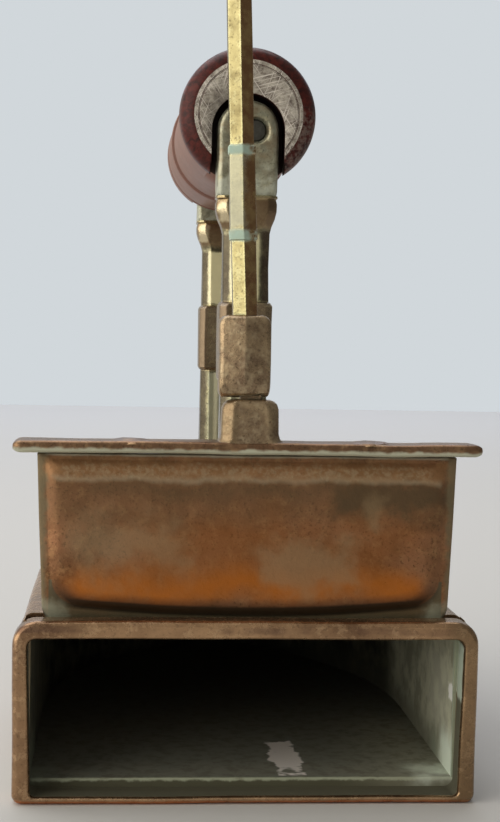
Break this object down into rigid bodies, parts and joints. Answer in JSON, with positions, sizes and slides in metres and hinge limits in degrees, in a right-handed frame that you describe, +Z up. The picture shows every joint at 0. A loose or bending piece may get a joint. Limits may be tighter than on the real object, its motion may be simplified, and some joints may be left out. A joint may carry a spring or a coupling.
{
  "type": "box iron",
  "caption": "Antique brass box iron with an open rectangular mouth, a lift gate with a hinged finger lever, and a turned wooden grip on two ornamental posts.",
  "frame": {"origin": "middle of the iron's length and width, on the plane that the sole stands on", "axes": "+Z up, +Y along the iron to its tip, the mouth and the gate face -Y"},
  "size_m": [0.11, 0.19, 0.2039],
  "materials": {
    "aged_brass": "brown patina with green in the corners",
    "polished_brass": "worn bright on the edges",
    "mahogany": "french polished, scratched",
    "dark_iron": "dark oxide"
  },
  "bodies": {
    "iron": {"sole_plate": "aged_brass", "left_side_wall": "aged_brass", "right_side_wall": "aged_brass", "top_plate": "aged_brass", "mouth_frame": "aged_brass", "rear_post": "polished_brass", "front_post": "polished_brass", "rear_post_washer": "aged_brass", "front_post_washer": "aged_brass", "handle_grip": "mahogany", "handle_rod": "dark_iron"},
    "gate": {"gate_plate": "aged_brass", "gate_cap": "aged_brass", "cap_rivets": "aged_brass", "hinge_lug": "aged_brass"},
    "lever": {"lift_lever": "polished_brass", "lever_pin": "aged_brass"}
  },
  "joints": [
    {"name": "gate_slide", "type": "slide", "parent": "iron", "child": "gate", "axis": [0, 0, 1], "range_m": [-0.0381, 0]},
    {"name": "lever_rock", "type": "hinge", "parent": "gate", "child": "lever", "pos_m": [0, -0.0865, 0.0994], "axis": [1, 0, 0], "range_deg": [-8.5, 15]}
  ]
}
